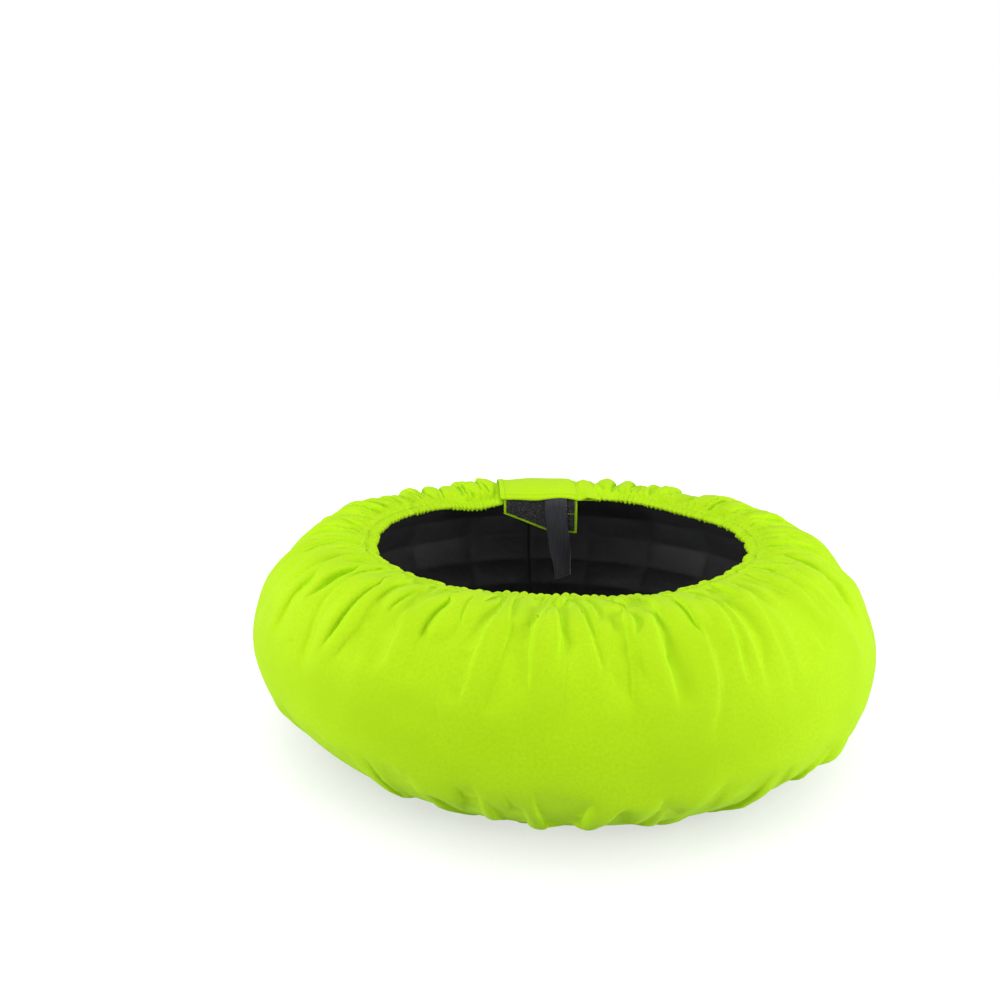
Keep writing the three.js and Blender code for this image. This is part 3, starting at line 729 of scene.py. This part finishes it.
def colour_between(made, share, colours, span=None):
    """Colours a material between two sRGB hex colours, by a pattern's value, or by its place in a span."""
    tree = made.node_tree
    if span:
        within = add_node(tree, "ShaderNodeMapRange", [("Value", share)], From_Min=span[0], From_Max=span[1])
        share = within.outputs[0]
    blend = add_node(tree, "ShaderNodeMix", [("Factor", share)], data_type="RGBA")
    # Sockets 6 and 7 are the two colours, which share their names with the node's other inputs
    for socket, colour in zip((6, 7), colours):
        blend.inputs[socket].default_value = linear(colour)
    tree.links.new(blend.outputs[2], tree.nodes["Principled BSDF"].inputs["Base Color"])


def add_relief(made, height, depth, strength):
    """Raises a material's surface by a pattern, on top of the relief that it has."""
    tree = made.node_tree
    normal = tree.nodes["Principled BSDF"].inputs["Normal"]
    before = [("Normal", link.from_socket) for link in normal.links]
    bump = add_node(tree, "ShaderNodeBump", [("Height", height)] + before, Distance=depth, Strength=strength)
    tree.links.new(bump.outputs["Normal"], normal)


def add_spots(made, place, size, detail, depth, strength, colours=None, span=None):
    """Spots about size metres apart, which raise the surface and may vary its colour."""
    noise = add_node(made.node_tree, "ShaderNodeTexNoise", [("Vector", place)], Scale=1 / size, Detail=detail)
    if colours:
        colour_between(made, noise.outputs["Fac"], colours, span)
    add_relief(made, noise.outputs["Fac"], depth, strength)


def cloth_place(tree, stretch=(1, 1, 1)):
    """Metres along and across the cloth, from the piece's own UV map."""
    flat = add_node(tree, "ShaderNodeUVMap", uv_map=CLOTH_UV)
    place = add_node(tree, "ShaderNodeMapping", [("Vector", flat.outputs["UV"])], Scale=stretch)
    return place.outputs["Vector"]


def object_place(tree):
    """Metres in the shared frame, because each piece lies at its origin."""
    return add_node(tree, "ShaderNodeTexCoord").outputs["Object"]


def threads(tree, pitch):
    """The height of a plain weave, whose threads cross and pass over each other every pitch."""
    place = cloth_place(tree)
    links = []
    for number, direction in enumerate("XY"):
        wave = add_node(tree, "ShaderNodeTexWave", [("Vector", place)], wave_type="BANDS",
                        bands_direction=direction, Scale=WAVE_UNIT / pitch, Distortion=0.0)
        links.append((number, wave.outputs["Fac"]))
    return add_node(tree, "ShaderNodeMath", links, operation="MULTIPLY").outputs[0]


def cover_polyester():
    """Woven polyester in a fluorescent dye: matt, even and very bright, with a fine grain. Its threads are
    0.5 mm apart, and are drawn at 2.2 mm, so that the grain shows at all."""
    made = new_material("fluorescent_woven_polyester", "#c2f406", 0.85, Specular_IOR_Level=0.25,
                        Sheen_Weight=0.04, Sheen_Roughness=0.5)
    tree = made.node_tree
    place = cloth_place(tree)
    grain = add_node(tree, "ShaderNodeTexNoise", [("Vector", place)], Scale=1 / (3 * MM), Detail=3.0)
    patches = add_node(tree, "ShaderNodeTexNoise", [("Vector", place)], Scale=1 / (70 * MM), Detail=2.0)
    shade = add_node(tree, "ShaderNodeMath", [(0, grain.outputs["Fac"]), (1, patches.outputs["Fac"])],
                     operation="MULTIPLY")
    colour_between(made, shade.outputs[0], ("#bff102", "#c8f909"), (0.15, 0.4))
    add_relief(made, threads(tree, 2.2 * MM), 0.12 * MM, 0.4)
    # Soft crumples, longer across the cloth than along it
    add_spots(made, cloth_place(tree, (1, 0.35, 1)), 24 * MM, 2, 2.4 * MM, 0.18)
    return made


def satin_lining():
    """Black nylon lining: a smooth tight weave that stays dark, with a soft sheen along its folds. Its
    crumples are painted paler grey where they stand up, as a painted sheen. Its threads are 0.3 mm apart,
    and are drawn at 2 mm, so that they show."""
    made = new_material("black_nylon_lining", "#1c1c1f", 0.5, Sheen_Weight=0.25, Sheen_Roughness=0.4)
    add_relief(made, threads(made.node_tree, 2.0 * MM), 0.2 * MM, 0.5)
    # Painted sheen: the same noise that raises the crumples turns them paler grey where they stand highest
    add_spots(made, cloth_place(made.node_tree), 26 * MM, 3, 2.0 * MM, 0.5, ("#1d1d20", "#303035"))
    return made


def loop_pile():
    """Brushed nylon loop tape: a felted black pile whose raised tufts, about 2 mm apart, are painted grey as
    painted highlights for the light they catch.
    """
    made = new_material("brushed_nylon_loop_tape", "#1c1c1f", 0.95, Sheen_Weight=0.6, Sheen_Roughness=0.45)
    place = object_place(made.node_tree)
    # Painted highlight: the tufts that the bump raises are coloured grey
    add_spots(made, place, 2.2 * MM, 4, 1.2 * MM, 0.9, ("#0f0f11", "#4b4b50"), (0.48, 0.72))
    return made


def hook_nylon():
    """Moulded nylon hook tape: rows of small stiff hooks 1.6 mm apart, with a dull plastic shine."""
    made = new_material("moulded_nylon_hook_tape", "#151517", 0.45)
    add_relief(made, threads(made.node_tree, 1.6 * MM), 0.7 * MM, 0.9)
    return made


def velvet_strap():
    """Nylon pile webbing: a dark grey nap, brushed along the strap, that turns pale at a grazing angle."""
    made = new_material("napped_nylon_webbing", "#2b2b31", 0.9, Sheen_Weight=0.8, Sheen_Roughness=0.35)
    tree = made.node_tree
    nap = add_node(tree, "ShaderNodeTexNoise", [("Vector", cloth_place(tree, (1, 0.12, 1)))],
                   Scale=1 / (3 * MM), Detail=4.0)
    colour_between(made, nap.outputs["Fac"], ("#1d1d22", "#45454d"))
    add_spots(made, cloth_place(tree), 1.6 * MM, 3, 0.6 * MM, 0.6)
    return made


def elastic_webbing():
    """Woven rubber-cored elastic: black, ribbed across its length every 1.2 mm."""
    made = new_material("woven_elastic", "#1d1d1f", 0.8)
    tree = made.node_tree
    ribs = add_node(tree, "ShaderNodeTexWave", [("Vector", cloth_place(tree))], wave_type="BANDS",
                    bands_direction="X", Scale=WAVE_UNIT / (1.2 * MM))
    add_relief(made, ribs.outputs["Fac"], 0.4 * MM, 0.8)
    return made


def needled_felt():
    """Needle-punched polyester felt: off-white, matt and fibrous, with clumps of a few millimetres."""
    made = new_material("needled_polyester_felt", "#c9c4b4", 0.95, Sheen_Weight=0.3)
    add_spots(made, object_place(made.node_tree), 4 * MM, 5, 1.0 * MM, 0.8, ("#b3ad9b", "#dcd8ca"))
    return made


def sewing_thread(name, colour):
    """Bonded polyester thread: twisted, with a slight wax shine."""
    made = new_material(name, colour, 0.55)
    add_spots(made, object_place(made.node_tree), 0.8 * MM, 2, 0.2 * MM, 0.5)
    return made


def moulded(name, colours, roughness, size, depth, metallic=0.0):
    """A moulded, drawn or plated material, whose colour and surface vary a little in spots of a size."""
    made = new_material(name, colours[0], roughness, metallic)
    add_spots(made, object_place(made.node_tree), size, 3, depth, 0.5, colours)
    return made


# Camera, floor and light

CAMERA_AIM_HEIGHT = 0.1
CAMERA_DISTANCE = 0.97895
CAMERA_ELEVATION = math.radians(20.96)
CAMERA_YAW = math.radians(4.18)
CAMERA_PITCH = math.radians(-13.14)
CAMERA_ROLL = math.radians(0.23)
CAMERA_LENS = 29.73
FLOOR_REACH = 3.0
LAMP_POWER = 13


def make_camera():
    """The camera that fits the ring's opening, outline and foot in the photo."""
    data = bpy.data.cameras.new("camera")
    data.lens = CAMERA_LENS
    data.sensor_width = 36
    camera = in_scene("camera", data)
    place = Vector((0, -math.cos(CAMERA_ELEVATION), math.sin(CAMERA_ELEVATION))) * CAMERA_DISTANCE
    place.z += CAMERA_AIM_HEIGHT
    turn = Matrix.Rotation(CAMERA_YAW, 4, "Z") @ Matrix.Rotation(math.pi / 2 + CAMERA_PITCH, 4, "X")
    camera.matrix_world = Matrix.Translation(place) @ turn @ Matrix.Rotation(CAMERA_ROLL, 4, "Z")
    bpy.context.scene.camera = camera


def area_light(name, place, target, size, power):
    """A round soft lamp that points at a target."""
    data = bpy.data.lights.new(name, "AREA")
    data.shape = "DISK"
    data.size = size
    data.energy = power
    lamp = in_scene(name, data)
    lamp.location = place
    lamp.rotation_euler = (Vector(target) - Vector(place)).to_track_quat("-Z", "Y").to_euler()


def seen_rays(tree):
    """1 for the rays that show a background: from the camera, off gloss or through glass. 0 for the rest."""
    path = add_node(tree, "ShaderNodeLightPath")
    seen = path.outputs["Is Camera Ray"]
    for kind in ("Is Glossy Ray", "Is Transmission Ray"):
        either = add_node(tree, "ShaderNodeMath", [(0, seen), (1, path.outputs[kind])], operation="MAXIMUM")
        seen = either.outputs[0]
    return seen


def make_stage():
    """A white world that is seen at full strength and lights the object at a third of it, the floor and three
    soft lamps."""
    scene = bpy.context.scene
    scene.view_settings.view_transform = "Standard"
    world = bpy.data.worlds.new("studio")
    world.use_nodes = True
    scene.world = world
    tree = world.node_tree
    background = tree.nodes["Background"]
    background.inputs["Color"].default_value = linear("#ffffff")
    strength = add_node(tree, "ShaderNodeMapRange", [("Value", seen_rays(tree))], To_Min=0.34, To_Max=1.0)
    tree.links.new(strength.outputs[0], background.inputs["Strength"])
    mesh = bpy.data.meshes.new("floor")
    reach = FLOOR_REACH
    mesh.from_pydata([(-reach, -reach, 0), (reach, -reach, 0), (reach, reach, 0), (-reach, reach, 0)], [],
                     [(0, 1, 2, 3)])
    floor = in_scene("floor", mesh)
    floor.data.materials.append(floor_material())
    area_light("left", (-1.6, -0.95, 0.5), (0, 0, 0.08), 0.45, LAMP_POWER)
    area_light("right", (1.55, -0.9, 0.45), (0, 0, 0.08), 0.45, LAMP_POWER)
    area_light("overhead", (0, 0.1, 1.9), (0, 0, 0.1), 0.8, LAMP_POWER)


def floor_material():
    """Matt white studio paper. Light that it throws back on the ring comes off a pale surface. What the
    camera sees is a darker surface lifted to white, which keeps the shadow and takes little of the cloth's
    colour. It is lifted less under the ring, which adds a painted grey shade round the ring's foot to the
    real shadow there."""
    made = new_material("pale_floor", "#e4e4e4", 0.8)
    tree = made.node_tree
    shader = tree.nodes["Principled BSDF"]
    seen = seen_rays(tree)
    colour_between(made, seen, ("#c4c4c4", "#8c8c8c"))
    away = add_node(tree, "ShaderNodeVectorMath", [(0, object_place(tree))], operation="LENGTH")
    # Painted shadow: the floor's glow is weaker between 0.27 and 0.37 m from the middle, which greys the floor
    # round the ring's foot whatever the light
    white_lift_and_painted_shadow = add_node(tree, "ShaderNodeMapRange", [("Value", away.outputs["Value"])],
                    From_Min=0.27, From_Max=0.37, To_Min=0.6, To_Max=1.0)
    strength = add_node(tree, "ShaderNodeMath", [(0, seen), (1, white_lift_and_painted_shadow.outputs[0])], operation="MULTIPLY")
    shader.inputs["Emission Color"].default_value = linear("#ffffff")
    tree.links.new(strength.outputs[0], shader.inputs["Emission Strength"])
    return made


# Sewing and the bush

def seam_line(gathered, face, s):
    """A line on the gathered cover's face at a distance across the section, between the strip's ends."""
    return face[3:-3, int(np.argmin(np.abs(gathered.row_s - s)))]


def grid_line(grid, column=None, row=None):
    """A line along one column or row of a panel's grid, lifted over its cloth."""
    places, s, raised = grid
    places = np.broadcast_to(places, s.shape)
    take = (column, slice(None)) if row is None else (slice(None), row)
    raised = np.broadcast_to(raised, s.shape)[take] + STITCH_LIFT
    return spun(SECTION.at(s[take], raised), beside(places[take], SECTION.at(s[take])[:, 0]))


def tongue_cross_line():
    """The seam across the tongue, just under its bend, from its square end to the strap."""
    places = np.linspace(COVER_RIGHT + 1.5 * MM, STRAP_MIDDLE, 20)
    s = np.full(places.size, -(SECTION.bend_length + CROSS_SEAM_DROP))
    raised = tongue_wave(places, s) + LOOP_TOP + 0.4 * MM
    return spun(SECTION.at(s, raised), beside(places, SECTION.at(s)[:, 0]))


def grommet_profile():
    """The bush's section as (radius, height over the cloth), with a rounded flange and bore mouth."""
    top = LAYER_GAP + GROMMET_FLANGE_THICKNESS
    arc = np.radians(np.linspace(0, 90, 5))
    flange = [(GROMMET_FLANGE - GROMMET_BEVEL * (1 - math.cos(a)), top - GROMMET_BEVEL * (1 - math.sin(a)))
              for a in arc]
    mouth = [(GROMMET_BORE + GROMMET_BEVEL * (1 - math.sin(a)), top - GROMMET_BEVEL * (1 - math.cos(a)))
             for a in arc]
    return [(GROMMET_BORE, GROMMET_INNER), (GROMMET_BODY, GROMMET_INNER), (GROMMET_BODY, LAYER_GAP),
            (GROMMET_FLANGE, LAYER_GAP)] + flange + mouth


make_camera()
make_stage()

# Pieces

POLYESTER = cover_polyester()
LEAD_SILICONE = moulded("grey_silicone_lead", ("#333336", "#404044"), 0.5, 6 * MM, 0.1 * MM)
TIN = moulded("tinned_copper", ("#b4b7bb", "#c6c8cb"), 0.35, 1.5 * MM, 0.05 * MM, 1.0)
# What the CAD model's own solids are made of: extruded silicone is satin and even, phenolic resin is brown
# and smooth with a faint fleck, and tinned copper is a soft bright grey
NODE_MATERIALS = {
    "insulation_felt": needled_felt(),
    "heating_wire": moulded("red_silicone_wire", ("#9c3226", "#ae4032"), 0.5, 8 * MM, 0.1 * MM),
    "supply_lead_live": LEAD_SILICONE,
    "supply_lead_neutral": LEAD_SILICONE,
    "switch_lead": LEAD_SILICONE,
    "fuse_lead": LEAD_SILICONE,
    "live_wire_joint": TIN,
    "neutral_wire_joint": TIN,
    "thermal_fuse": TIN,
    "temperature_switch": moulded("phenolic_resin", ("#45311f", "#543d29"), 0.42, 1.2 * MM, 0.05 * MM),
}


def dress(piece, material, node):
    """Gives a piece its material, and puts it in the place of a CAD node."""
    piece.data.materials.clear()
    piece.data.materials.append(material)
    if node:
        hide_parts(node)
    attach(piece, "root")


def cloth_piece(name, grid, thickness, material, node):
    """A panel from its grid of places, distances and heights, with its places on the flat cloth as its UV map.
    """
    places, s, height = grid
    piece = grid_mesh(name, panel(places, s, height), flat_uv(places, s), thickness)
    dress(piece, material, node)


for node, material in NODE_MATERIALS.items():
    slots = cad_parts[node].data.materials
    slots.clear()
    slots.append(material)

cover = Cover(COVER_COLUMNS, row_places(HEM_ROW_STEP, ROW_STEP))
cover_face = cover.points()
points, uv, backed, backing = cover.with_turned_hems(cover_face)
cover_cloth = grid_mesh("cover_cloth", points, uv, CLOTH, backed, backing)
thin_out(cover_cloth, COVER_TRIANGLES)
dress(cover_cloth, POLYESTER, "outer_cover")

cloth_piece("closure_tongue_cloth", tongue_grid(0, SECTION.length, 61, 44), CLOTH, POLYESTER,
            "closure_tongue")
places, s, height = tongue_grid(LOOP_INSET, TAPE_END, 90, 60)
tufts = np.random.default_rng(SEED).uniform(-0.25, 0.25, s.shape) * MM
cloth_piece("tongue_loop_pile", (places, s, height + LOOP_TOP + tufts), TAPE, loop_pile(), "tongue_loop_tape")
cloth_piece("closure_flap_cloth", flap_grid(), CLOTH, POLYESTER, "closure_flap")
cloth_piece("pull_strap_webbing", strap_grid(), TAPE, velvet_strap(), "pull_strap")
hook_left = COVER_LEFT - TAPE_MARGIN
places = np.linspace(hook_left - HOOK_TAPE_WIDTH, hook_left, 20)[:, None]
s = np.broadcast_to(np.linspace(STRAP_SEWN + TAPE_MARGIN, TAPE_END, 60)[None], (20, 60))
cloth_piece("flap_hook_strip", (places, s, HOOK_TOP), TAPE, hook_nylon(), "flap_hook_tape")

lining_points, lining_uv = lining_grid()
lining = grid_mesh("quilted_lining", lining_points, lining_uv, CLOTH)
dress(lining, satin_lining(), "inner_lining")

elastic = elastic_webbing()
hem_rows = np.flatnonzero((cover.row_s > 0.5 * MM) & (cover.row_s < HEM_SEAM - 1 * MM))
for name, node, rows in (("top_elastic", "top_hem_elastic", hem_rows),
                         ("bottom_elastic", "bottom_hem_elastic", -1 - hem_rows[::-1])):
    inside = below_face(cover_face[::3, rows], CLOTH + LAYER_GAP)
    piece = grid_mesh(name, inside, cover.uv[::3, rows], ELASTIC)
    dress(piece, elastic, node)

tree = stitch_tree()
thread = sewing_thread("yellow_green_polyester_thread", "#a9e000")
hem_lines = [seam_line(cover, cover_face, s) for s in (HEM_SEAM, SECTION.length - HEM_SEAM)]
hem_stitches = stitch_rows("hem_stitches", tree, hem_lines, thread)
dress(hem_stitches, thread, None)
flap_lines = flap_grid()
flap_stitches = stitch_rows("flap_stitches", tree,
                            [grid_line(flap_lines, column=-6), grid_line(flap_lines, column=21),
                             grid_line(flap_lines, row=2)[24:], grid_line(flap_lines, row=-3)], thread)
dress(flap_stitches, thread, None)
edge_grid = tongue_grid(TONGUE_EDGE_SEAM, TAPE_END, 61, 44)
tongue_stitches = stitch_rows("tongue_stitches", tree,
                              [tongue_cross_line(), grid_line(edge_grid, column=0)[:60],
                               grid_line(edge_grid, row=0)],
                              thread, thickness=1.1 * MM)
dress(tongue_stitches, thread, None)

# The bush is moulded black rubber: matt and even. Its place is a share of the way round the cover's strip.
start = CLOSURE_ANGLE + LAYER_GAP / SIDE_R
grommet_angle = start + (2 * math.pi - 2 * LAYER_GAP / SIDE_R) * GROMMET_COLUMN_SHARE
grommet_place = (Matrix.Rotation(grommet_angle, 4, "Z") @ Matrix.Translation((CROWN_R, 0, HEIGHT / 2))
                 @ Matrix.Rotation(math.pi / 2, 4, "Y"))
grommet = turned_mesh("grommet_bush", grommet_profile(), 48, grommet_place)
reach = GROMMET_HOLE_REACH
hole_profile = [(0, -reach), (0, reach), (GROMMET_HOLE, reach), (GROMMET_HOLE, -reach)]
cut_hole(cover_cloth, turned_mesh("hole", hole_profile, 24, grommet_place))
dress(grommet, moulded("moulded_black_rubber", ("#161617", "#222224"), 0.6, 3 * MM, 0.1 * MM),
      "cable_grommet")
